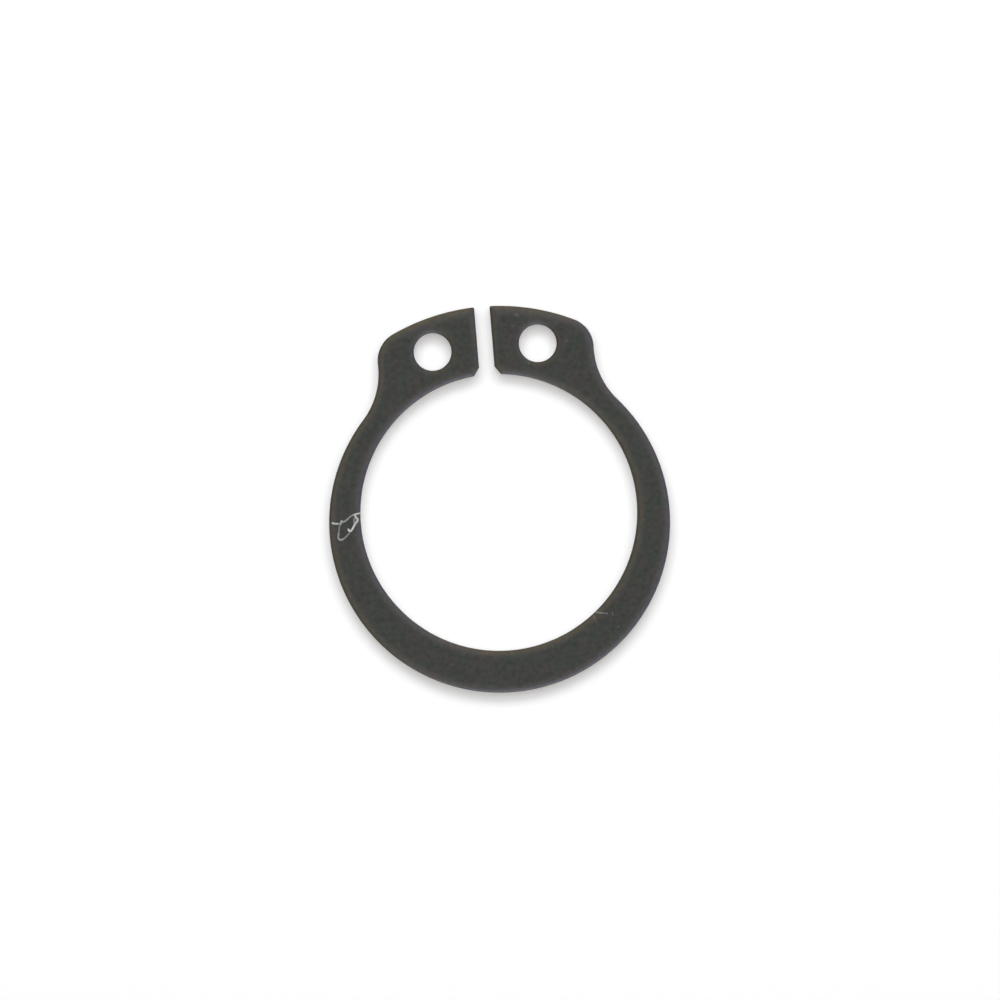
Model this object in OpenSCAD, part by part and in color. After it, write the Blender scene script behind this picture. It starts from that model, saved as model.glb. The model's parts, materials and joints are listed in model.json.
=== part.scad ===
// Retaining ring for the outside of a 16 mm shaft, stamped from flat spring steel.
// The bore axis is Z and the ring lies on its lower face at z = 0, with the gap towards +Y.

/* [Ring] */
// Diameter of the bore when nothing pulls the ring open
bore_d = 14.7; // [14:0.1:15.4]
// Thickness of the strip
ring_t = 1; // [0.8:0.05:1.5]
// Width of the ring opposite the gap
beam_w = 2.22; // [1.9:0.02:2.6]
// Width that the tapering ring would come down to at the gap, under the lugs
beam_end_w = 1.18; // [0.9:0.02:1.4]

/* [Lugs] */
// Height of the lugs, from the bore to the top of their outer edge
lug_h = 3.62; // [3.4:0.02:4]
// Width across both lugs
lug_w = 11.5; // [10.8:0.1:12.2]
// Radius of the outer edge that the two lugs share
lug_r = 11.3; // [10:0.1:14]
// Radius of the outer corner of each lug
shoulder_r = 1.6; // [1.2:0.05:2]
// Radius of the hollow where each lug runs out into the ring
root_r = 4.1; // [3:0.1:6]

/* [Tips] */
// Width of the gap between the tips
gap_w = 0.82; // [0.5:0.02:1.4]
// How far the corner cut off each tip runs along the bore
tip_cut_w = 0.31; // [0.1:0.01:0.5]
// How far the corner cut off each tip runs up the gap
tip_cut_h = 0.44; // [0.2:0.01:0.6]

/* [Plier holes] */
// Diameter of the two holes
hole_d = 2; // [1.7:0.05:2.2]
// Distance between the centres of the holes
hole_spacing = 5.6; // [5:0.05:6.2]
// Steel left between each hole and the bore
hole_wall = 0.87; // [0.7:0.01:1.1]

/* [Edges] */
// Width of the band along each upper edge that the punch pulled down
roll_w = 0.3; // [0.1:0.01:0.34]
// Depth to which that band drops at the edge
roll_h = 0.12; // [0.05:0.01:0.2]
// Radius of the lower edge, where tumbling took the burr off
tumble_r = 0.05; // [0.02:0.01:0.08]

/* [Hidden] */
$fn = 180;

// The outline never strays further than this from its true arcs
chord_gap = 0.0015;

// Steps round the section of an upper and of a lower edge
roll_steps = 4;
tumble_steps = 2;

// The cutters reach this far past the faces and edges that they leave through
over = 0.4;

// The bore and the outside of the ring are circles, set apart by the taper
bore_r = bore_d / 2;
beam_r = bore_r + (beam_w + beam_end_w) / 2;
beam_c = [0, -(beam_w - beam_end_w) / 2];

// The outer corner of each lug is a circle that touches the edge of the lugs from inside
lug_c = [0, bore_r + lug_h - lug_r];
shoulder_x = lug_w / 2 - shoulder_r;
shoulder_c = [shoulder_x, lug_c.y + sqrt(pow(lug_r - shoulder_r, 2) - pow(shoulder_x, 2))];

// The hollow touches the outer corner of the lug and the outside of the ring
root_c = meeting_point(beam_c, beam_r + root_r, shoulder_c, shoulder_r + root_r);

// Directions in which one arc of the outline hands over to the next
lug_end = heading(lug_c, shoulder_c);
shoulder_end = heading(shoulder_c, root_c);
root_end = heading(beam_c, root_c);

// The cut across each tip starts at its foot on the bore and leans over towards the gap
cut_x = gap_w / 2 + tip_cut_w;
cut_foot = [cut_x, sqrt(pow(bore_r, 2) - pow(cut_x, 2))];
cut_lean = atan2(tip_cut_w, tip_cut_h);

// Right plier hole, at its own distance from the bore
hole_x = hole_spacing / 2;
hole_c = [hole_x, sqrt(pow(bore_r + hole_wall + hole_d / 2, 2) - pow(hole_x, 2))];

// Section of every stamped edge, as [inset, height] from the lower face to the upper one
edge = concat(
    [for (i = [0:tumble_steps]) let (a = 90 * i / tumble_steps)
        tumble_r * [1 - sin(a), 1 - cos(a)]],
    [for (i = [0:roll_steps]) let (a = 90 * i / roll_steps)
        [roll_w * (1 - cos(a)), ring_t - roll_h * (1 - sin(a))]]);

// Direction from one point to another, in degrees
function heading(from, to) = atan2(to.y - from.y, to.x - from.x);

// Point on the right of the way from a to b, at the distance ra from a and rb from b
function meeting_point(a, ra, b, rb) =
    let (d = norm(b - a),
         along = (ra * ra - rb * rb + d * d) / (2 * d),
         aside = sqrt(ra * ra - along * along),
         way = (b - a) / d)
    a + along * way + aside * [way.y, -way.x];

// Arc round c from the angle a0 to the angle a1, without its last point. Its radius is r less
// the inset, and its steps are counted on r alone, so that every inset has the same points.
function arc(c, r, inset, a0, a1) =
    let (steps = ceil(abs(a1 - a0) / (2 * acos(1 - chord_gap / r))))
    [for (i = [0:steps - 1])
        let (a = a0 + (a1 - a0) * i / steps)
        c + (r - inset) * [cos(a), sin(a)]];

// Right half of the outline, drawn inwards by inset, from the top of the lugs to the bottom
function half_outline(inset) = concat(
    arc(lug_c, lug_r, inset, 90, lug_end),
    arc(shoulder_c, shoulder_r, inset, lug_end, shoulder_end),
    arc(root_c, root_r, -inset, shoulder_end + 180, root_end + 180),
    arc(beam_c, beam_r, inset, root_end, -90));

// The whole outline, the left half mirroring the right one between its two ends
function outline(inset) =
    let (right = half_outline(inset))
    concat(right, [beam_c - [0, beam_r - inset]],
           [for (i = [len(right) - 1:-1:1]) [-right[i].x, right[i].y]]);

// Profile of a cut whose wall stands at x = wall, opening out at both faces
function cut_profile(wall, back) = concat(
    [[back, -over], [wall + tumble_r, -over]],
    [for (e = edge) [wall + e.x, e.y]],
    [[wall + roll_w, ring_t + over], [back, ring_t + over]]);

// Plate of the whole outline, with the section of a stamped edge all round it
module plate() {
    count = len(outline(0));
    top = len(edge) - 1;
    points = [for (e = edge) for (p = outline(e.x)) [p.x, p.y, e.y]];
    lower_face = [for (i = [0:count - 1]) i];
    upper_face = [for (i = [count - 1:-1:0]) top * count + i];
    walls = [for (k = [0:top - 1]) for (i = [0:count - 1])
        let (j = (i + 1) % count)
        [k * count + i, (k + 1) * count + i, (k + 1) * count + j, k * count + j]];
    polyhedron(points, concat([lower_face, upper_face], walls));
}

// Round cut of radius r
module round_cut(r) {
    rotate_extrude() polygon(cut_profile(r, 0));
}

// Straight cut along Y from y = 0 to y = length, its wall at x = 0 and its open side towards -X
module straight_cut(length, back) {
    translate([0, length]) rotate([90, 0, 0]) linear_extrude(length) polygon(cut_profile(0, -back));
}

// Gap between the tips, from the bore out through the lugs
module gap() {
    for (side = [0, 1]) mirror([side, 0, 0])
        translate([gap_w / 2, 0]) straight_cut(bore_r + lug_h + over, gap_w);
}

// Cut across the inner corner of the right tip, from inside the bore to just inside the gap
module tip_cut() {
    translate(cut_foot) rotate(cut_lean) translate([0, -over])
        straight_cut(over + norm([tip_cut_w, tip_cut_h]) + gap_w / 4, over);
}

module ring() {
    color("#494947")
    difference() {
        plate();
        round_cut(bore_r);
        gap();
        for (side = [0, 1]) mirror([side, 0, 0]) {
            tip_cut();
            translate(hole_c) round_cut(hole_d / 2);
        }
    }
}

ring();
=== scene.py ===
import json
import math
import bpy
import numpy as np
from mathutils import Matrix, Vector, geometry


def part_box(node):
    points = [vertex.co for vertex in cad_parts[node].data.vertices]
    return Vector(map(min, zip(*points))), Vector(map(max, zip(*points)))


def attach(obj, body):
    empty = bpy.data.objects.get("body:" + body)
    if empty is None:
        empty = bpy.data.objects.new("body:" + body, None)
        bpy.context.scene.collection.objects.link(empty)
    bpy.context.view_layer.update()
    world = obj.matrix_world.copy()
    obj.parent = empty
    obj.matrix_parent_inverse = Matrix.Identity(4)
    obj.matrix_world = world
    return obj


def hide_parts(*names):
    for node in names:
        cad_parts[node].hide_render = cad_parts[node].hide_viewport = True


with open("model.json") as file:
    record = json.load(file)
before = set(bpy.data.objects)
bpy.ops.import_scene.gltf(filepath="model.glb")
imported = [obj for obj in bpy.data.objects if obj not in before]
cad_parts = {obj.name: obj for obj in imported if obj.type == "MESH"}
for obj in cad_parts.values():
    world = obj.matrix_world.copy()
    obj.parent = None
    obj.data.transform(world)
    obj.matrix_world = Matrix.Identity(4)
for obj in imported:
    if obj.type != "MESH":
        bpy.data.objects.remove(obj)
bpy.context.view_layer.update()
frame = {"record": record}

mm = 0.001
bpy.context.scene.view_settings.view_transform = "Standard"
mounts = {m["name"]: m for m in frame["record"]["mounts"]}
ringLow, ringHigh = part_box("ring")


# Shared helpers

def addObject(name, data):
    made = bpy.data.objects.new(name, data)
    bpy.context.scene.collection.objects.link(made)
    return made


# The node tree of a material or a world, emptied.
def emptyTree(owner):
    owner.use_nodes = True
    owner.node_tree.nodes.clear()
    return owner.node_tree


# A node of this kind, with its properties set by name and its inputs by label.
def addNode(tree, kind, **settings):
    made = tree.nodes.new(kind)
    for key, value in settings.items():
        if hasattr(made, key):
            setattr(made, key, value)
        else:
            made.inputs[key.replace("_", " ")].default_value = value
    return made


# Links a socket, or writes a value.
def feed(tree, target, source):
    if isinstance(source, bpy.types.NodeSocket):
        tree.links.new(source, target)
    else:
        target.default_value = source


def maths(tree, operation, *sources):
    made = addNode(tree, "ShaderNodeMath", operation=operation)
    for target, source in zip(made.inputs, sources):
        feed(tree, target, source)
    return made.outputs[0]


def vectorMaths(tree, operation, *sources):
    made = addNode(tree, "ShaderNodeVectorMath", operation=operation)
    for target, source in zip(made.inputs, sources):
        feed(tree, target, source)
    return made


def coordinate(tree, vector, axis):
    made = addNode(tree, "ShaderNodeSeparateXYZ")
    feed(tree, made.inputs[0], vector)
    return made.outputs[axis]


# Noise whose lumps are about this size across.
def noise(tree, vector, size, detail, roughness):
    made = addNode(tree, "ShaderNodeTexNoise", Scale=1 / size, Detail=detail, Roughness=roughness)
    feed(tree, made.inputs["Vector"], vector)
    return made.outputs[0]


# Carries one span of values over to another and stops at its ends, easing in and out if smooth.
def remap(tree, value, span, toSpan=(0.0, 1.0), smooth=True):
    made = addNode(tree, "ShaderNodeMapRange", interpolation_type="SMOOTHSTEP" if smooth else "LINEAR")
    for target, source in zip(made.inputs, (value, *span, *toSpan)):
        feed(tree, target, source)
    return made.outputs[0]


# The node's colours are its inputs 6 and 7 and its output 2.
def blendColour(tree, factor, first, second, kind="MIX"):
    made = addNode(tree, "ShaderNodeMix", data_type="RGBA", blend_type=kind)
    feed(tree, made.inputs[0], factor)
    feed(tree, made.inputs[6], first)
    feed(tree, made.inputs[7], second)
    return made.outputs[2]


# Photograph's camera and frame

view = {
    "turn": 4.75,            # degrees that the gap leans to the left
    "width": 53.065 * mm,    # seen across the picture at the upper face
    "aimRight": 0.062 * mm,  # picture's middle, from the bore axis
    "aimUp": 0.661 * mm,
    "height": 600 * mm,      # above the upper face
    "sensor": 36.0,
    "clipStart": 5 * mm,
    "clipEnd": 10.0,
}

turn = math.radians(view["turn"])
pictureRight = Vector((math.cos(turn), -math.sin(turn), 0))
pictureUp = Vector((math.sin(turn), math.cos(turn), 0))

lens = bpy.data.cameras.new("studioCamera")
lens.sensor_width = view["sensor"]
lens.lens = view["sensor"] * view["height"] / view["width"]
lens.clip_start = view["clipStart"]
lens.clip_end = view["clipEnd"]
camera = addObject("studioCamera", lens)
camera.location = (pictureRight * view["aimRight"] + pictureUp * view["aimUp"]
                   + Vector((0, 0, ringHigh.z + view["height"])))
camera.rotation_euler = (0, 0, -turn)
bpy.context.scene.camera = camera
print("camera placed")


# Ring

plierHoles = ("left_plier_hole", "right_plier_hole")

ringShape = {
    "boreRadius": mounts["shaft_bore"]["dims"]["r_mm"] * mm,
    "holeRadius": mounts[plierHoles[0]]["dims"]["r_mm"] * mm,
    "lugRadius": 11.3 * mm,
    "shoulderRadius": 1.6 * mm,
    "lugWidth": 11.5 * mm,
    "hollowRadius": 4.1 * mm,
    "gapWidth": 0.82 * mm,
    "tipCutWidth": 0.31 * mm,
    "tipCutHeight": 0.44 * mm,
    "cornerRadius": 0.08 * mm,   # worn corners of the tips
    "leastCorner": 0.03 * mm,    # further in, where the corners grow sharper
    "rollWidth": 0.3 * mm,       # upper edge, pulled down by the punch
    "rollDepth": 0.12 * mm,
    "tumbleRadius": 0.05 * mm,   # lower edge
    "tearHeight": 0.53 * mm,     # the walls are cut clean above it and torn below
    "tearDepth": 0.012 * mm,     # how far the torn part of the wall falls back
    "tearFade": 0.06 * mm,       # height over which it does
    "plainBelow": 0.05 * mm,     # the wall is smooth below this height,
    "plainAbove": 0.1 * mm,      # and from this far under the upper face
    "plainFade": 0.06 * mm,
    "quiet": 0.14 * mm,          # in holes and gap, the worn band with its painted sheen lies as if this much further from their edge
    "quietFade": 0.15 * mm,      # over which that ends beside the gap
    "seed": 16,
}

# Waves that roughen the walls, with their shortest and longest wavelength. They push the wall in by
# their depth times their height above the level.
wallWaves = {
    "drawn": {"low": 0.25 * mm, "high": 1.2 * mm, "count": 40, "depth": 0.0012 * mm, "level": -1.5},
    "torn": {"low": 0.16 * mm, "high": 0.6 * mm, "count": 40, "depth": 0.0035 * mm, "level": -1.6},
}

ringGrid = {
    "spacing": 0.075 * mm,       # between points along the outline
    "shoulderDetail": 1.6,       # times as many round the outer corners of the lugs
    "holeDetail": 1.33,          # and round the holes
    "tipSteps": 6,               # corner of the tip at the lug's edge
    "cutSteps": 4,               # corner between the gap and the tip's cut
    "slopeSteps": 6,             # the cut itself
    "footSteps": 5,              # corner at the bore
    "tumblePoints": 5,           # up the lower edge
    "wallPoints": 12,            # up the wall, with its two ends
    "rollPoints": 11,            # up the upper edge
    "faceSpacing": 0.22 * mm,    # between points on the flat faces
    "faceMargin": 0.6,           # of that, kept free beside the rims
    "mergeWithin": 1e-7,         # millimetres, under which two points would be one
}


# Points centre + radius * (cos a, sin a), with a going from start to end in equal steps and the last
# one left out. Each level of the edge is a row, each step a column.
def arcGrid(centre, radius, start, end, count):
    share = np.arange(count) / count
    angle = start[:, None] + (end - start)[:, None] * share
    return centre[:, None, :] + radius[:, None, None] * np.stack([np.cos(angle), np.sin(angle)], -1)


# Points start + share * (end - start), with the last one left out.
def lineGrid(start, end, count):
    share = (np.arange(count) / count)[None, :, None]
    return start[:, None, :] + (end - start)[:, None, :] * share


# Angle of the way from start to end, anticlockwise from x.
def heading(start, end):
    return np.arctan2(end[..., 1] - start[..., 1], end[..., 0] - start[..., 0])


# The right half of the outline, drawn inwards by each inset, with the steel on its left: up the
# outside of the ring, over the lug, down the gap and back along the bore. Arcs keep their centres and
# change their radius by the inset.
def rightHalf(inset, shape, grid):
    full = np.ones_like(inset)
    at = lambda x, y: np.stack([x * full, y * full], -1)
    boreR = shape["boreRadius"]
    ringR = ringHigh.x
    ringC = at(0, ringLow.y + ringR)
    halfGap = shape["gapWidth"] / 2
    lugR = shape["lugRadius"]
    lugC = at(0, ringHigh.y - math.sqrt(lugR ** 2 - halfGap ** 2))
    outR = shape["shoulderRadius"]
    outX = shape["lugWidth"] / 2 - outR
    outC = at(outX, lugC[0, 1] + math.sqrt((lugR - outR) ** 2 - outX ** 2))
    # the hollow's centre is ringR + hollow from the ring's and outR + hollow from the corner's
    hollow = shape["hollowRadius"]
    apart = np.hypot(*(outC[0] - ringC[0]))
    along = ((ringR + hollow) ** 2 - (outR + hollow) ** 2 + apart ** 2) / (2 * apart)
    aside = math.sqrt((ringR + hollow) ** 2 - along ** 2)
    way = (outC[0] - ringC[0]) / apart
    hollowC = at(*(ringC[0] + along * way + aside * np.array([way[1], -way[0]])))
    # the cut across the tip starts on the bore and leans towards the gap
    lean = math.atan2(shape["tipCutWidth"], shape["tipCutHeight"])
    footX = halfGap + shape["tipCutWidth"]
    foot = np.array([footX, math.sqrt(boreR ** 2 - footX ** 2)])
    normal = np.array([math.cos(lean), math.sin(lean)])
    # every worn corner is an arc whose centre is its radius further in than the inset
    corner = np.maximum(shape["cornerRadius"] - inset, shape["leastCorner"])
    deep = inset + corner
    tipX = halfGap + deep
    tipC = np.stack([tipX, lugC[:, 1] + np.sqrt((lugR - deep) ** 2 - tipX ** 2)], -1)
    cutC = np.stack([tipX, (foot @ normal + deep - tipX * normal[0]) / normal[1]], -1)
    # corner at the bore: deep behind the cut's line, and boreR + deep from the axis
    reach = foot @ normal + deep
    side = np.array([-normal[1], normal[0]])
    footC = reach[:, None] * normal + np.sqrt((boreR + deep) ** 2 - reach ** 2)[:, None] * side
    # directions in which one arc runs into the next
    toRoot, toShoulder, toLug = heading(ringC, hollowC), heading(outC, hollowC), heading(lugC, outC)
    toTip, toBore = heading(lugC, tipC), heading(footC, at(0, 0)) + 2 * math.pi
    toFoot = heading(at(0, 0), footC)
    down, half = -math.pi / 2 * full, math.pi * full
    inward = np.stack([corner, 0 * full], -1)
    count = lambda length: int(math.ceil(length / grid["spacing"]))
    return np.concatenate([
        arcGrid(ringC, ringR - inset, down, toRoot, count(ringR * (toRoot[0] - down[0]))),
        arcGrid(hollowC, hollow + inset, toRoot + math.pi, toShoulder + math.pi,
                count(hollow * (toRoot[0] - toShoulder[0]))),
        arcGrid(outC, outR - inset, toShoulder, toLug,
                count(grid["shoulderDetail"] * outR * (toLug[0] - toShoulder[0]))),
        arcGrid(lugC, lugR - inset, toLug, toTip, count(lugR * (toTip[0] - toLug[0]))),
        arcGrid(tipC, corner, toTip, half, grid["tipSteps"]),
        lineGrid(tipC - inward, cutC - inward, count(tipC[0, 1] - cutC[0, 1])),
        arcGrid(cutC, corner, half, half + lean, grid["cutSteps"]),
        lineGrid(cutC - corner[:, None] * normal, footC - corner[:, None] * normal,
                 grid["slopeSteps"]),
        arcGrid(footC, corner, half + lean, toBore, grid["footSteps"]),
        arcGrid(at(0, 0), boreR + inset, toFoot, down, count(boreR * (toFoot[0] - down[0]))),
        np.stack([0 * full, -(boreR + inset)], -1)[:, None, :],
    ], 1)


# The whole outline: the right half, then its mirror image back to the start.
def ringLoop(inset, shape, grid):
    right = rightHalf(inset, shape, grid)
    left = right[:, ::-1] * np.array([-1, 1])
    return np.concatenate([right, left[:, 1:-1]], 1)


# A plier hole's circle, clockwise so that the steel is on its left.
def holeLoop(inset, name, shape, grid):
    x, y, _ = mounts[name]["pos_m"]
    around = 2 * math.pi * shape["holeRadius"]
    count = int(math.ceil(grid["holeDetail"] * around / grid["spacing"]))
    full = np.ones_like(inset)
    centre = np.tile([x, y], (len(inset), 1))
    return arcGrid(centre, shape["holeRadius"] + inset, 2 * math.pi * full, 0 * full, count)


# Sum of sine waves along s, each a whole number of times round the length, scaled to about 1.
def waves(rng, s, length, look):
    longs = np.exp(rng.uniform(math.log(look["low"]), math.log(look["high"]), look["count"]))
    turns = np.round(length / longs)
    phase = rng.uniform(0, 2 * math.pi, look["count"])
    angle = 2 * math.pi * turns[:, None] * (s / length)[None, :] + phase[:, None]
    return np.sin(angle).sum(0) * math.sqrt(2 / look["count"])


# Section of a stamped edge from the lower face to the upper one, as inset, height and the share of
# tearing: a quarter circle, the wall and a quarter ellipse.
def edgeSection(shape, grid):
    top = ringHigh.z
    low, roll, drop = shape["tumbleRadius"], shape["rollWidth"], shape["rollDepth"]
    a = np.linspace(0, math.pi / 2, grid["tumblePoints"])
    wall = np.linspace(low, top - drop, grid["wallPoints"])[1:-1]
    torn = np.clip((shape["tearHeight"] - wall) / shape["tearFade"], 0, 1)
    b = np.linspace(0, math.pi / 2, grid["rollPoints"])
    inset = np.concatenate([low * (1 - np.sin(a)), shape["tearDepth"] * torn, roll * (1 - np.cos(b))])
    height = np.concatenate([low * (1 - np.cos(a)), wall, top - drop * (1 - np.sin(b))])
    tear = np.concatenate([np.linspace(0, 1, len(a)), torn, 0 * b])
    return inset, height, tear


# Lifts the offset loops to their heights and roughens the wall: streaks that the punch drew from top
# to bottom, and beside them the grain of the torn part, both pushed into the steel. Also gives the
# way along the loop, from its first point to each and back to it.
def stampedWall(flat, inset, height, tear, shape, rng):
    outer = flat[np.argmin(np.abs(inset) + np.abs(height - ringHigh.z / 2))]
    ahead, behind = np.roll(outer, -1, 0), np.roll(outer, 1, 0)
    tangent = (ahead - behind) / np.linalg.norm(ahead - behind, axis=1)[:, None]
    inward = np.stack([-tangent[:, 1], tangent[:, 0]], -1)
    s = np.concatenate([[0], np.cumsum(np.linalg.norm(ahead - outer, axis=1))])
    drawn, torn = wallWaves["drawn"], wallWaves["torn"]
    streaks = waves(rng, s[:-1], s[-1], drawn)
    grain = np.stack([waves(rng, s[:-1], s[-1], torn) for _ in height])
    inWall = np.minimum(height - shape["plainBelow"], ringHigh.z - shape["plainAbove"] - height)
    middle = np.clip(inWall / shape["plainFade"], 0, 1)
    depth = (drawn["depth"] * (streaks - drawn["level"])[None, :]
             + torn["depth"] * (grain - torn["level"]) * tear[:, None]) * middle[:, None]
    points = flat + inward[None, :, :] * np.maximum(depth, 0)[:, :, None]
    heights = np.broadcast_to(height[:, None, None], points.shape[:2] + (1,))
    return np.concatenate([points, heights], -1), s


# Quads between each row of a closed strip and the next, facing away from the steel.
def stripFaces(rows, columns, first):
    i, j = np.meshgrid(np.arange(rows - 1), np.arange(columns), indexing="ij")
    k = (j + 1) % columns
    corners = [i * columns + j, i * columns + k, (i + 1) * columns + k, (i + 1) * columns + j]
    return first + np.stack(corners, -1).reshape(-1, 4)


# Their places on the wall map: along the loop, and up the section.
def stripMap(along, up):
    i, j = np.meshgrid(np.arange(len(up) - 1), np.arange(len(along) - 1), indexing="ij")
    u = np.stack([along[j], along[j + 1], along[j + 1], along[j]], -1)
    v = np.stack([up[i], up[i], up[i + 1], up[i + 1]], -1)
    return np.stack([u, v], -1).reshape(-1, 4, 2)


# Numbers of the points, about a thousand at a time, so that tables of them against a rim stay small.
def inChunks(points):
    return np.array_split(np.arange(len(points)), max(1, len(points) // 1000))


# True where an odd number of edges of the loops lie to the right of the point.
def insideLoops(points, loops):
    crossings = np.zeros(len(points), int)
    for loop in loops:
        a, b = loop, np.roll(loop, -1, 0)
        rise = np.where(b[:, 1] == a[:, 1], 1, b[:, 1] - a[:, 1])
        for chunk in inChunks(points):
            px, py = points[chunk, 0][:, None], points[chunk, 1][:, None]
            straddles = (a[:, 1] > py) != (b[:, 1] > py)
            x = a[:, 0] + (py - a[:, 1]) / rise * (b[:, 0] - a[:, 0])
            crossings[chunk] += (straddles & (px < x)).sum(1)
    return crossings % 2 == 1


# Distance from each point to the nearest target, counted with what each target adds.
def nearest(points, targets, added=0.0):
    out = np.empty(len(points))
    for chunk in inChunks(points):
        apart = points[chunk][:, None, :] - targets[None, :, :]
        out[chunk] = (np.sqrt((apart ** 2).sum(-1)) + added).min(1)
    return out


# What a rim point adds to the distance: all of quiet in the holes and in the gap, easing off over
# the corners of the tips, and nothing elsewhere.
def quietness(rim, shape):
    halfGap = shape["gapWidth"] / 2
    beside = (np.abs(rim[:, 0]) - halfGap) / shape["quietFade"]
    return shape["quiet"] * np.clip(1 - beside, 0, 1) * (rim[:, 1] > 0)


# Triangles between the rims, with a staggered grid of points inside them.
def flatFace(rims, grid):
    rim = np.concatenate(rims)
    low, high = rim.min(0), rim.max(0)
    spacing = grid["faceSpacing"]
    rowStep = spacing * math.sqrt(3) / 2
    x, y = np.meshgrid(np.arange(low[0], high[0], spacing), np.arange(low[1], high[1], rowStep))
    x = x + spacing / 2 * (np.arange(len(x)) % 2)[:, None]
    inner = np.stack([x.ravel(), y.ravel()], -1)
    inner = inner[insideLoops(inner, rims)]
    inner = inner[nearest(inner, rim) > grid["faceMargin"] * spacing]
    points = np.concatenate([rim, inner])
    edges, first = [], 0
    for loop in rims:
        i = np.arange(len(loop))
        edges.append(first + np.stack([i, (i + 1) % len(loop)], -1))
        first += len(loop)
    done = geometry.delaunay_2d_cdt([Vector(p) for p in (points / mm).tolist()],
                                    np.concatenate(edges).tolist(), [], 0, grid["mergeWithin"])
    assert len(done[0]) == len(points), "the rims of a flat face touch"
    faces = np.array(done[2])
    faces = faces[insideLoops(points[faces].mean(1), rims)]
    a, b, c = points[faces[:, 0]], points[faces[:, 1]], points[faces[:, 2]]
    turned = (b - a)[:, 0] * (c - a)[:, 1] - (b - a)[:, 1] * (c - a)[:, 0] < 0
    faces[turned] = faces[turned][:, ::-1]
    return inner, faces


# Mesh of the quads and then the triangles. Its map, on the flat faces the place in plan, and the
# distance of each point from the edge are in millimetres.
def ringMesh(vertices, quads, triangles, wallPlaces, away):
    mesh = bpy.data.meshes.new("circlip")
    mesh.vertices.add(len(vertices))
    mesh.vertices.foreach_set("co", vertices.astype(np.float32).ravel())
    corners = np.concatenate([quads.ravel(), triangles.ravel()])
    mesh.loops.add(len(corners))
    mesh.loops.foreach_set("vertex_index", corners.astype(np.int32))
    sides = np.concatenate([np.full(len(quads), 4), np.full(len(triangles), 3)])
    mesh.polygons.add(len(sides))
    starts = np.concatenate([[0], np.cumsum(sides)[:-1]])
    mesh.polygons.foreach_set("loop_start", starts.astype(np.int32))
    wallMap = mesh.uv_layers.new(name="wallMap")
    mesh.update(calc_edges=True)
    mesh.validate()
    places = np.concatenate([wallPlaces.ravel(), vertices[triangles][..., :2].ravel()]) / mm
    wallMap.data.foreach_set("uv", places.astype(np.float32))
    fromEdge = mesh.attributes.new("fromEdge", "FLOAT", "POINT")
    fromEdge.data.foreach_set("value", (away / mm).astype(np.float32))
    mesh.polygons.foreach_set("use_smooth", np.ones(len(sides), bool))
    mesh.update()
    return mesh


# The edge section carried round the outline and both holes, then the lower and the upper face
# between their rims.
def makeRing(shape, grid):
    rng = np.random.default_rng(shape["seed"])
    inset, height, tear = edgeSection(shape, grid)
    rows = len(inset)
    flats = [ringLoop(inset, shape, grid)]
    flats += [holeLoop(inset, name, shape, grid) for name in plierHoles]
    trueRims = [flat[rows // 2] for flat in flats]
    calm = [quietness(trueRims[0], shape)]
    calm += [np.full(len(rim), shape["quiet"]) for rim in trueRims[1:]]
    up = np.concatenate([[0], np.cumsum(np.hypot(np.diff(inset), np.diff(height)))])
    vertices, quads, places, away, starts = [], [], [], [], []
    first = 0
    for flat, added in zip(flats, calm):
        columns = flat.shape[1]
        lifted, along = stampedWall(flat, inset, height, tear, shape, rng)
        vertices.append(lifted.reshape(-1, 3))
        quads.append(stripFaces(rows, columns, first))
        places.append(stripMap(along, up))
        away.append((inset[:, None] + added[None, :]).ravel())
        starts.append(first)
        first += rows * columns
    triangles = []
    for row, upward in ((0, False), (rows - 1, True)):
        inner, faces = flatFace([flat[row] for flat in flats], grid)
        numbers = [start + row * flat.shape[1] + np.arange(flat.shape[1])
                   for start, flat in zip(starts, flats)]
        faces = np.concatenate(numbers + [first + np.arange(len(inner))])[faces]
        triangles.append(faces if upward else faces[:, ::-1])
        vertices.append(np.column_stack([inner, np.full(len(inner), height[row])]))
        away.append(nearest(inner, np.concatenate(trueRims), np.concatenate(calm)[None, :]))
        first += len(inner)
    mesh = ringMesh(*(np.concatenate(part) for part in (vertices, quads, triangles, places, away)))
    quadCount, triangleCount = sum(map(len, quads)), sum(map(len, triangles))
    print("ring", first, "points,", 2 * quadCount + triangleCount, "triangles")
    return addObject("circlip", mesh)


circlip = makeRing(ringShape, ringGrid)


# Phosphated, oiled spring steel

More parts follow.
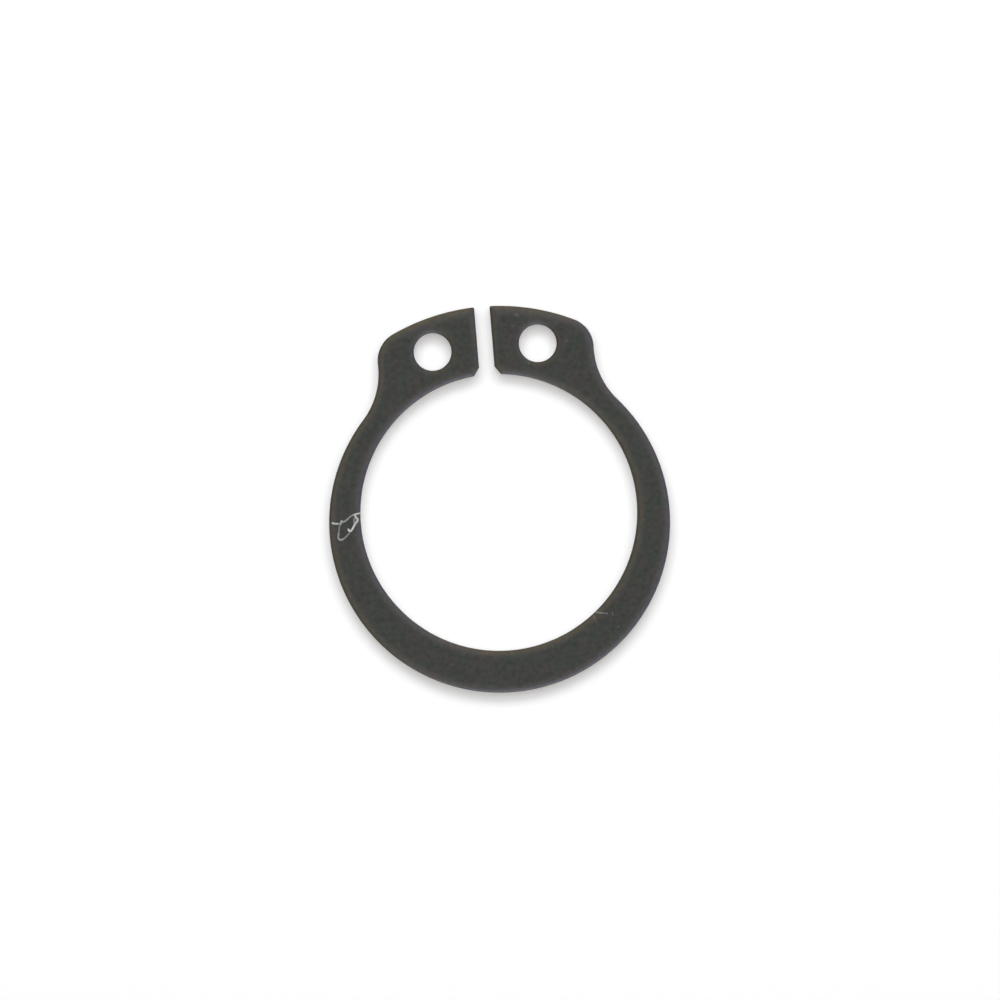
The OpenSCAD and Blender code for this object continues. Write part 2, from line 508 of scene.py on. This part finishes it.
# Each noise is the size of its lumps, its detail and its roughness.
steelLook = {
    "greenGrey": (0.0377, 0.0448, 0.0378, 1),
    "brownGrey": (0.0460, 0.0429, 0.0386, 1),
    "patchNoise": (0.9 * mm, 2.0, 0.5),
    "patchRange": (0.35, 0.65),   # of the noise, from the green tint to the brown one
    "mottleNoise": (0.24 * mm, 4.0, 0.62),
    "mottleRange": (0.25, 0.75),
    "mottle": 0.35,               # how far it lightens and darkens the colour
    "grainNoise": (0.05 * mm, 3.0, 0.6),
    "grainHeight": 0.0008 * mm,
    "noiseRange": (0.3, 0.7),     # in which the other noises mostly lie
    "metal": 0.15,
    "specular": 0.5,
    "roughness": 0.58,
    "roughnessSpread": 0.08,
    "flatRange": (0.35, 0.7),     # upward part of the normal, from wall to face
    "rubWarmSheen": (0.105, 0.085, 0.051, 1),    # worn edges that face the left, tinted by painted warm light
    "rubCoolSheen": (0.093, 0.089, 0.112, 1),    # and those that face away from it, tinted by painted cool light
    "coolSheenAway": 115,               # degrees from the top of the picture, clockwise, of the side the painted cool light comes from
    "sheenTurn": (-0.15, 0.15),     # how far an edge faces it, from painted warm light to painted cool light
    "rubSheenWidth": 0.50 * mm,        # band along every upper edge, part wear and part painted sheen
    "lugSheen": 1.35,              # times as wide along the top of the lugs, as painted sheen there
    "lugSheenFade": (1.6 * mm, 0.7 * mm),        # below that top, from plain to the wider painted sheen
    # strength of the edge band, part wear and part painted sheen
    "rubSheen": 0.78,
    "breakNoise": (0.25 * mm, 3.0, 0.5),
    "breakUp": (0.75, 1.15),      # what that noise multiplies the wear by
    "polish": 0.12,               # roughness that the wear takes away
    "leftRimShade": 0.55,            # painted shade: band taken away from the steep rims that face left
    "leftRimShadeRange": (0.22, 0.36),           # of how far they do
    "wallRubSheen": 0.25,              # share of it left on the walls
    "shearColour": (0.062, 0.062, 0.060, 1),
    "tornColour": (0.040, 0.039, 0.037, 1),
    "tearNoise": (0.18 * mm, 3.0, 0.5),
    "tearWander": 0.045 * mm,     # up and down, of the line between them
    "tearBlend": 0.03 * mm,       # to either side of it
    "streakSize": 0.05 * mm,      # across the lines that the punch drew on the walls
    "streakLength": 1.25 * mm,
    "streakNoise": (1.0, 3.0, 0.6),         # in those sizes
    "streakRange": (0.42, 0.68),
    "streakColour": (0.100, 0.099, 0.095, 1),
    "streak": 0.4,
    "speckColour": (0.24, 0.23, 0.21, 1),
    "speckSize": 0.45 * mm,       # of the cells that may hold one
    "speckless": 0.93,            # share of the cells without
    "speckRim": (0.05, 0.15),     # in cells, from its middle
    "speck": 0.25,
    "markColour": (0.62, 0.62, 0.59, 1),
    "markRim": (0.3, 0.62),       # in widths of the mark, from its middle line
    "markNoise": (0.12 * mm, 1.0, 0.5),
    "markWander": (0.8, 1.1),     # what that noise multiplies the marks by
    "markDull": 0.6,              # strength at which a mark is no metal
}

# Pale marks on the upper face as paths of points, in millimetres from the bore axis
marks = [
    {"width": 0.105, "strength": 0.72, "path": [(-8.842, 0.169), (-8.780, 0.142), (-8.676, 0.118),
                                                (-8.580, 0.110)]},
    {"width": 0.085, "strength": 0.42, "path": [(-8.580, 0.110), (-8.442, 0.103)]},
    {"width": 0.110, "strength": 0.55, "path": [(-8.416, 0.101), (-8.384, 0.168), (-8.347, 0.229)]},
    {"width": 0.090, "strength": 0.38, "path": [(-8.319, 0.173), (-8.189, 0.205), (-8.066, 0.275),
                                                (-7.951, 0.377), (-7.838, 0.453), (-7.661, 0.529)]},
    {"width": 0.090, "strength": 0.72, "path": [(-7.650, 0.528), (-7.467, 0.555), (-7.310, 0.585)]},
    {"width": 0.105, "strength": 0.80, "path": [(-7.616, 0.488), (-7.593, 0.385), (-7.491, 0.264),
                                                (-7.508, 0.191), (-7.556, 0.126)]},
    {"width": 0.105, "strength": 0.65, "path": [(-7.556, 0.126), (-7.643, 0.037)]},
    {"width": 0.105, "strength": 0.88, "path": [(-7.643, 0.037), (-7.729, -0.094), (-7.791, -0.206),
                                                (-7.903, -0.330), (-7.977, -0.330), (-8.034, -0.240)]},
    {"width": 0.095, "strength": 0.30, "path": [(-7.669, 0.295), (-7.694, 0.191), (-7.692, 0.084)]},
    {"width": 0.090, "strength": 0.27, "path": [(-7.997, -0.435), (-8.177, -0.612), (-8.352, -0.730)]},
    {"width": 0.100, "strength": 0.48, "path": [(-8.374, -0.739), (-8.487, -0.756), (-8.564, -0.723),
                                                (-8.600, -0.640)]},
    {"width": 0.095, "strength": 0.38, "path": [(-8.600, -0.640), (-8.598, -0.555), (-8.567, -0.430)]},
    {"width": 0.090, "strength": 0.24, "path": [(-8.567, -0.430), (-8.530, -0.241), (-8.498, -0.052),
                                                (-8.437, 0.039)]},
    {"width": 0.090, "strength": 0.22, "path": [(4.710, -5.701), (4.980, -5.760)]},
    {"width": 0.070, "strength": 0.16, "path": [(4.980, -5.760), (5.280, -5.815)]},
    {"width": 0.070, "strength": 0.10, "path": [(5.560, -5.780), (5.585, -5.930)]},
    {"width": 0.090, "strength": 0.08, "path": [(4.540, -5.860), (4.620, -6.040)]},
    {"width": 0.190, "strength": 0.055, "path": [(1.760, 10.400), (1.860, 10.330)]},
    {"width": 0.140, "strength": 0.040, "path": [(1.540, 9.820), (1.580, 9.790)]},
    {"width": 0.160, "strength": 0.045, "path": [(4.290, 8.800), (4.370, 8.770)]},
]


# Distance from a point to the stretch between two others: the point's shadow on their line, held
# between the two, and the length from there.
def strokeGroup():
    tree = bpy.data.node_groups.new("strokeDistance", "ShaderNodeTree")
    for name in ("Point", "From", "To"):
        tree.interface.new_socket(name, in_out="INPUT", socket_type="NodeSocketVector")
    tree.interface.new_socket("Distance", in_out="OUTPUT", socket_type="NodeSocketFloat")
    given = addNode(tree, "NodeGroupInput")
    result = addNode(tree, "NodeGroupOutput")
    away = vectorMaths(tree, "SUBTRACT", given.outputs["Point"], given.outputs["From"]).outputs[0]
    along = vectorMaths(tree, "SUBTRACT", given.outputs["To"], given.outputs["From"]).outputs[0]
    dot = vectorMaths(tree, "DOT_PRODUCT", away, along).outputs["Value"]
    square = vectorMaths(tree, "DOT_PRODUCT", along, along).outputs["Value"]
    share = addNode(tree, "ShaderNodeMath", operation="DIVIDE", use_clamp=True)
    feed(tree, share.inputs[0], dot)
    feed(tree, share.inputs[1], square)
    scaled = addNode(tree, "ShaderNodeVectorMath", operation="SCALE")
    feed(tree, scaled.inputs[0], along)
    feed(tree, scaled.inputs["Scale"], share.outputs[0])
    rest = vectorMaths(tree, "SUBTRACT", away, scaled.outputs[0]).outputs[0]
    length = vectorMaths(tree, "LENGTH", rest).outputs["Value"]
    feed(tree, result.inputs["Distance"], length)
    return tree


# How strongly each point of the upper face is marked: for each mark, full near its middle line and
# nothing beyond its width, with a soft rim.
def markLayer(tree, place, look):
    group = strokeGroup()
    flat = vectorMaths(tree, "MULTIPLY", place, (1 / mm, 1 / mm, 0)).outputs[0]
    total = None
    for mark in marks:
        closest = None
        for a, b in zip(mark["path"][:-1], mark["path"][1:]):
            stroke = addNode(tree, "ShaderNodeGroup", node_tree=group)
            feed(tree, stroke.inputs["Point"], flat)
            feed(tree, stroke.inputs["From"], (*a, 0))
            feed(tree, stroke.inputs["To"], (*b, 0))
            distance = stroke.outputs[0]
            closest = distance if closest is None else maths(tree, "MINIMUM", closest, distance)
        rim = [share * mark["width"] for share in look["markRim"]]
        body = remap(tree, closest, rim, (mark["strength"], 0.0))
        total = body if total is None else maths(tree, "MAXIMUM", total, body)
    wander = remap(tree, noise(tree, place, *look["markNoise"]), look["noiseRange"], look["markWander"])
    rollFoot = ringHigh.z - ringShape["rollDepth"]
    onTop = maths(tree, "GREATER_THAN", coordinate(tree, place, "Z"), rollFoot)
    return maths(tree, "MULTIPLY", maths(tree, "MULTIPLY", total, wander), onTop)


# Phosphate: green and brown tints in patches, with the mottle over them.
def phosphateColour(tree, place, mottled, look):
    tint = remap(tree, noise(tree, place, *look["patchNoise"]), look["patchRange"])
    colour = blendColour(tree, tint, look["greenGrey"], look["brownGrey"])
    return blendColour(tree, 1.0, colour, mottled, "MULTIPLY")


# Walls: cut clean above the tear, with lines that the punch drew, and torn below it.
def wallColour(tree, place, mottled, look):
    wander = look["tearWander"]
    ragged = remap(tree, noise(tree, place, *look["tearNoise"]), look["noiseRange"],
                   (-wander, wander), False)
    level = maths(tree, "ADD", coordinate(tree, place, "Z"), ragged)
    tear, blend = ringShape["tearHeight"], look["tearBlend"]
    clean = remap(tree, level, (tear - blend, tear + blend))
    mapped = addNode(tree, "ShaderNodeUVMap", uv_map="wallMap").outputs[0]
    stretch = (mm / look["streakSize"], mm / look["streakLength"], 0)
    stretched = vectorMaths(tree, "MULTIPLY", mapped, stretch).outputs[0]
    lines = remap(tree, noise(tree, stretched, *look["streakNoise"]), look["streakRange"],
                  (0.0, look["streak"]))
    shear = blendColour(tree, lines, look["shearColour"], look["streakColour"])
    torn = blendColour(tree, 1.0, look["tornColour"], mottled, "MULTIPLY")
    return blendColour(tree, clean, torn, shear)


# How far the surface faces a level direction, from -1 to 1.
def facing(tree, normal, direction):
    return vectorMaths(tree, "DOT_PRODUCT", normal, tuple(direction)).outputs["Value"]


# How much of the edge band is laid on, part wear and part painted sheen: most at the edge and none
# beyond the band, broken up by the noise, and less on walls and on rims that face left, where its lack
# is painted shade.
def rubSheenAmount(tree, place, normal, steep, look):
    edge = addNode(tree, "ShaderNodeAttribute", attribute_name="fromEdge").outputs["Fac"]
    broken = remap(tree, noise(tree, place, *look["breakNoise"]), look["noiseRange"], look["breakUp"])
    width = look["rubSheenWidth"] / mm
    # painted sheen: the band widens towards the top of the lugs
    fade = [ringHigh.y - below for below in look["lugSheenFade"]]
    band = remap(tree, coordinate(tree, place, "Y"), fade, (width, look["lugSheen"] * width))
    near = remap(tree, edge, (0.0, band), (1.0, 0.0))
    # painted shade: a dark line on steep rims that face left, where the band is taken away
    shadeOnLeft = remap(tree, facing(tree, normal, -pictureRight), look["leftRimShadeRange"],
                 (1.0, 1 - look["leftRimShade"]))
    spared = remap(tree, steep, (0.0, 1.0), (look["rubSheen"], look["rubSheen"] * look["wallRubSheen"]), False)
    rubSheen = maths(tree, "MULTIPLY", maths(tree, "MULTIPLY", near, shadeOnLeft), broken)
    return maths(tree, "MULTIPLY", rubSheen, spared)


# Painted light on the edge band: warm where the edge faces left and cool where it faces away.
def rubSheenColour(tree, normal, look):
    away = math.radians(look["coolSheenAway"])
    coolSide = pictureRight * math.sin(away) + pictureUp * math.cos(away)
    cool = remap(tree, facing(tree, normal, coolSide), look["sheenTurn"], smooth=False)
    return blendColour(tree, cool, look["rubWarmSheen"], look["rubCoolSheen"])


# A few pale specks, each in the middle of a cell, in the cells whose random colour is red enough.
def speckLayer(tree, place, look):
    cells = addNode(tree, "ShaderNodeTexVoronoi", Scale=1 / look["speckSize"])
    feed(tree, cells.inputs["Vector"], place)
    chosen = addNode(tree, "ShaderNodeSeparateColor")
    feed(tree, chosen.inputs[0], cells.outputs["Color"])
    rare = maths(tree, "GREATER_THAN", chosen.outputs[0], look["speckless"])
    spot = remap(tree, cells.outputs["Distance"], look["speckRim"], (look["speck"], 0.0))
    return maths(tree, "MULTIPLY", spot, rare)


# Phosphate and walls, then the edge band that is part wear and part painted sheen, tinted by painted
# warm and cool light and with painted shade on rims that face left, then specks and marks.
def phosphatedSteel(look):
    made = bpy.data.materials.new("phosphatedSteel")
    tree = emptyTree(made)
    out = addNode(tree, "ShaderNodeOutputMaterial")
    shader = addNode(tree, "ShaderNodeBsdfPrincipled", Specular_IOR_Level=look["specular"])
    feed(tree, out.inputs["Surface"], shader.outputs[0])
    coords = addNode(tree, "ShaderNodeTexCoord")
    place, normal = coords.outputs["Object"], coords.outputs["Normal"]
    upward = maths(tree, "ABSOLUTE", coordinate(tree, normal, "Z"))
    steep = remap(tree, upward, look["flatRange"], (1.0, 0.0))
    mottle = noise(tree, place, *look["mottleNoise"])
    mottled = remap(tree, mottle, look["mottleRange"], (1 - look["mottle"], 1 + look["mottle"]), False)
    colour = blendColour(tree, steep, phosphateColour(tree, place, mottled, look),
                         wallColour(tree, place, mottled, look))
    # edge band: part wear, part painted sheen, with painted shade on rims that face left
    rubSheen = rubSheenAmount(tree, place, normal, steep, look)
    # painted warm and cool light tints that band, by which way its edge faces
    colour = blendColour(tree, rubSheen, colour, rubSheenColour(tree, normal, look))
    colour = blendColour(tree, speckLayer(tree, place, look), colour, look["speckColour"])
    mark = markLayer(tree, place, look)
    colour = blendColour(tree, mark, colour, look["markColour"])
    feed(tree, shader.inputs["Base Color"], colour)
    metal = remap(tree, mark, (0.0, look["markDull"]), (look["metal"], 0.0), False)
    feed(tree, shader.inputs["Metallic"], metal)
    middle, spread = look["roughness"], look["roughnessSpread"]
    plain = remap(tree, mottle, look["noiseRange"], (middle - spread, middle + spread), False)
    feed(tree, shader.inputs["Roughness"], maths(tree, "MULTIPLY_ADD", rubSheen, -look["polish"], plain))
    bump = addNode(tree, "ShaderNodeBump", Strength=1.0, Distance=look["grainHeight"])
    feed(tree, bump.inputs["Height"], noise(tree, place, *look["grainNoise"]))
    feed(tree, shader.inputs["Normal"], bump.outputs[0])
    return made


circlip.data.materials.append(phosphatedSteel(steelLook))
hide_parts("ring")
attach(circlip, "root")
print("steel finished")


# Floor, lamps and sky

studio = {
    "floorSize": 3.0,
    "floorColour": (0.681, 0.697, 0.708, 1),
    "floorLift": 0.325,           # added for the camera, so that the bare floor is white
    "liftColour": (1.045, 1.0, 0.97, 1),
    "skyColour": (1, 1, 1, 1),
    "skyZenith": 0.04,
    "skyRise": 0.50,
    "skyPower": 40.0,
}

# Each lamp's azimuth is measured clockwise from the top of the picture. Its share is of the light on
# a level surface, and width and height are the angles from its middle to its rim.
lamps = [
    {"name": "upperLamp", "azimuth": 0, "elevation": 76.2, "width": 36, "height": 26.9, "share": 0.65,
     "distance": 600 * mm, "colour": (1.0, 1.0, 1.0), "lights": "matt"},
    {"name": "lowerLamp", "azimuth": -2, "elevation": 54.1, "width": 26, "height": 11.7, "share": 0.30,
     "distance": 600 * mm, "colour": (1.0, 1.0, 1.0), "lights": "matt"},
    {"name": "edgeLamp", "azimuth": 166, "elevation": 32, "width": 38, "height": 14, "share": 0.34,
     "distance": 600 * mm, "colour": (0.98, 1.0, 1.0), "lights": "gloss"},
]


# Matt, with some light of its own that only the camera, and gloss and glass, see.
def paleFloor(look):
    made = bpy.data.materials.new("paleFloor")
    tree = emptyTree(made)
    out = addNode(tree, "ShaderNodeOutputMaterial")
    matt = addNode(tree, "ShaderNodeBsdfDiffuse", Color=look["floorColour"])
    glow = addNode(tree, "ShaderNodeEmission", Color=look["liftColour"])
    both = addNode(tree, "ShaderNodeAddShader")
    path = addNode(tree, "ShaderNodeLightPath")
    seen = maths(tree, "MAXIMUM", path.outputs["Is Camera Ray"], path.outputs["Is Glossy Ray"])
    seen = maths(tree, "MAXIMUM", seen, path.outputs["Is Transmission Ray"])
    feed(tree, glow.inputs["Strength"], maths(tree, "MULTIPLY", seen, look["floorLift"]))
    feed(tree, both.inputs[0], matt.outputs[0])
    feed(tree, both.inputs[1], glow.outputs[0])
    feed(tree, out.inputs["Surface"], both.outputs[0])
    return made


# One square at the height of the lower face.
def makeFloor(look):
    half = look["floorSize"] / 2
    corners = [(-half, -half, 0), (half, -half, 0), (half, half, 0), (-half, half, 0)]
    mesh = bpy.data.meshes.new("floor")
    mesh.from_pydata(corners, [], [(0, 1, 2, 3)])
    mesh.materials.append(paleFloor(look))
    piece = addObject("floor", mesh)


# An ellipse of lamp gives a level surface pi * brightness * sin(width) * sin(height) * sin(elevation),
# and its energy is pi * brightness * its area.
def makeLamp(look):
    rise, around = math.radians(look["elevation"]), math.radians(look["azimuth"])
    wide, high = math.radians(look["width"]), math.radians(look["height"])
    across, tall = look["distance"] * math.tan(wide), look["distance"] * math.tan(high)
    brightness = look["share"] / (math.sin(wide) * math.sin(high) * math.sin(rise))
    lamp = bpy.data.lights.new(look["name"], "AREA")
    lamp.shape = "ELLIPSE"
    lamp.size, lamp.size_y = 2 * across, 2 * tall
    lamp.color = look["colour"]
    lamp.energy = math.pi * brightness * math.pi * across * tall
    piece = addObject(look["name"], lamp)
    level = pictureUp * math.cos(around) + pictureRight * math.sin(around)
    towards = level * math.cos(rise) + Vector((0, 0, math.sin(rise)))
    piece.location = towards * look["distance"]
    piece.rotation_euler = towards.to_track_quat("Z", "Y").to_euler()
    piece.visible_camera = False
    piece.visible_diffuse = look["lights"] == "matt"
    piece.visible_glossy = look["lights"] == "gloss"


# Brightness is zenith + rise * (1 - z^2)^power, where z is the upward part of the direction, so
# the sky is dim overhead and brightest at the horizon.
def makeSky(look):
    world = bpy.data.worlds.new("studioSky")
    bpy.context.scene.world = world
    tree = emptyTree(world)
    out = addNode(tree, "ShaderNodeOutputWorld")
    back = addNode(tree, "ShaderNodeBackground", Color=look["skyColour"])
    upward = coordinate(tree, addNode(tree, "ShaderNodeTexCoord").outputs["Generated"], "Z")
    level = maths(tree, "SUBTRACT", 1.0, maths(tree, "MULTIPLY", upward, upward))
    curve = maths(tree, "POWER", level, look["skyPower"])
    strength = maths(tree, "MULTIPLY_ADD", curve, look["skyRise"], look["skyZenith"])
    feed(tree, back.inputs["Strength"], strength)
    feed(tree, out.inputs["Surface"], back.outputs[0])


makeFloor(studio)
for lamp in lamps:
    makeLamp(lamp)
makeSky(studio)
print("studio lit")
